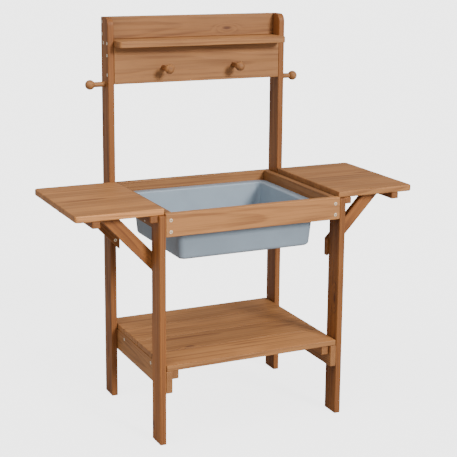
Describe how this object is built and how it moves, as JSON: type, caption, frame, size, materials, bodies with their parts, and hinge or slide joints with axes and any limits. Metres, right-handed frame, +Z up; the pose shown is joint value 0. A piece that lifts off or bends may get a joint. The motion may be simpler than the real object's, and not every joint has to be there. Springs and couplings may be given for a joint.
{
  "type": "potting bench",
  "caption": "Children's potting bench: a wooden frame with a lift-out tub, two braced side tables, a slatted lower shelf and a raised top shelf with pegs.",
  "frame": {"origin": "on the floor, under the centre of the bench's overall box", "axes": "+Z up, +X towards the right-hand side table as a child stands at the front, +Y from the front to the rear posts"},
  "size_m": [0.898, 0.394, 1],
  "materials": {
    "frame_wood": "stained softwood, planed",
    "board_wood": "stained softwood, planed",
    "turned_wood": "stained softwood, turned",
    "tub_plastic": "satin moulded",
    "screw_zinc": "zinc plated"
  },
  "bodies": {
    "frame": {"back_panel": "board_wood", "front_left_brace": "frame_wood", "front_left_brace_bolt": "screw_zinc", "front_left_leg": "frame_wood", "front_rail": "board_wood", "front_right_brace": "frame_wood", "front_right_brace_bolt": "screw_zinc", "front_right_leg": "frame_wood", "left_back_panel_lower_screw": "screw_zinc", "left_back_panel_upper_screw": "screw_zinc", "left_front_peg": "turned_wood", "left_inner_batten": "frame_wood", "left_lower_rail": "frame_wood", "left_lower_rail_front_screw": "screw_zinc", "left_lower_rail_rear_screw": "screw_zinc", "left_outer_batten": "frame_wood", "left_peg_board_lower_screw": "screw_zinc", "left_peg_board_upper_screw": "screw_zinc", "left_rail_lower_screw": "screw_zinc", "left_rail_upper_screw": "screw_zinc", "left_shelf_batten": "frame_wood", "left_side_peg": "turned_wood", "left_side_rail": "frame_wood", "left_table_panel": "board_wood", "left_top_shelf_front_screw": "screw_zinc", "left_top_shelf_rear_screw": "screw_zinc", "left_tub_cleat": "frame_wood", "peg_board": "board_wood", "rear_left_brace": "frame_wood", "rear_left_brace_bolt": "screw_zinc", "rear_left_post": "frame_wood", "rear_rail": "board_wood", "rear_right_brace": "frame_wood", "rear_right_brace_bolt": "screw_zinc", "rear_right_post": "frame_wood", "right_back_panel_lower_screw": "screw_zinc", "right_back_panel_upper_screw": "screw_zinc", "right_front_peg": "turned_wood", "right_inner_batten": "frame_wood", "right_lower_rail": "frame_wood", "right_lower_rail_front_screw": "screw_zinc", "right_lower_rail_rear_screw": "screw_zinc", "right_outer_batten": "frame_wood", "right_peg_board_lower_screw": "screw_zinc", "right_peg_board_upper_screw": "screw_zinc", "right_rail_lower_screw": "screw_zinc", "right_rail_upper_screw": "screw_zinc", "right_shelf_batten": "frame_wood", "right_side_peg": "turned_wood", "right_side_rail": "frame_wood", "right_table_panel": "board_wood", "right_top_shelf_front_screw": "screw_zinc", "right_top_shelf_rear_screw": "screw_zinc", "right_tub_cleat": "frame_wood", "shelf_plank_1": "board_wood", "shelf_plank_2": "board_wood", "shelf_plank_3": "board_wood", "shelf_plank_4": "board_wood", "top_shelf": "board_wood"},
    "tub": {"tub": "tub_plastic"}
  },
  "joints": [
    {"name": "tub_lift", "type": "slide", "parent": "frame", "child": "tub", "axis": [0, 0, 1], "range_m": [0, 0.2]}
  ]
}
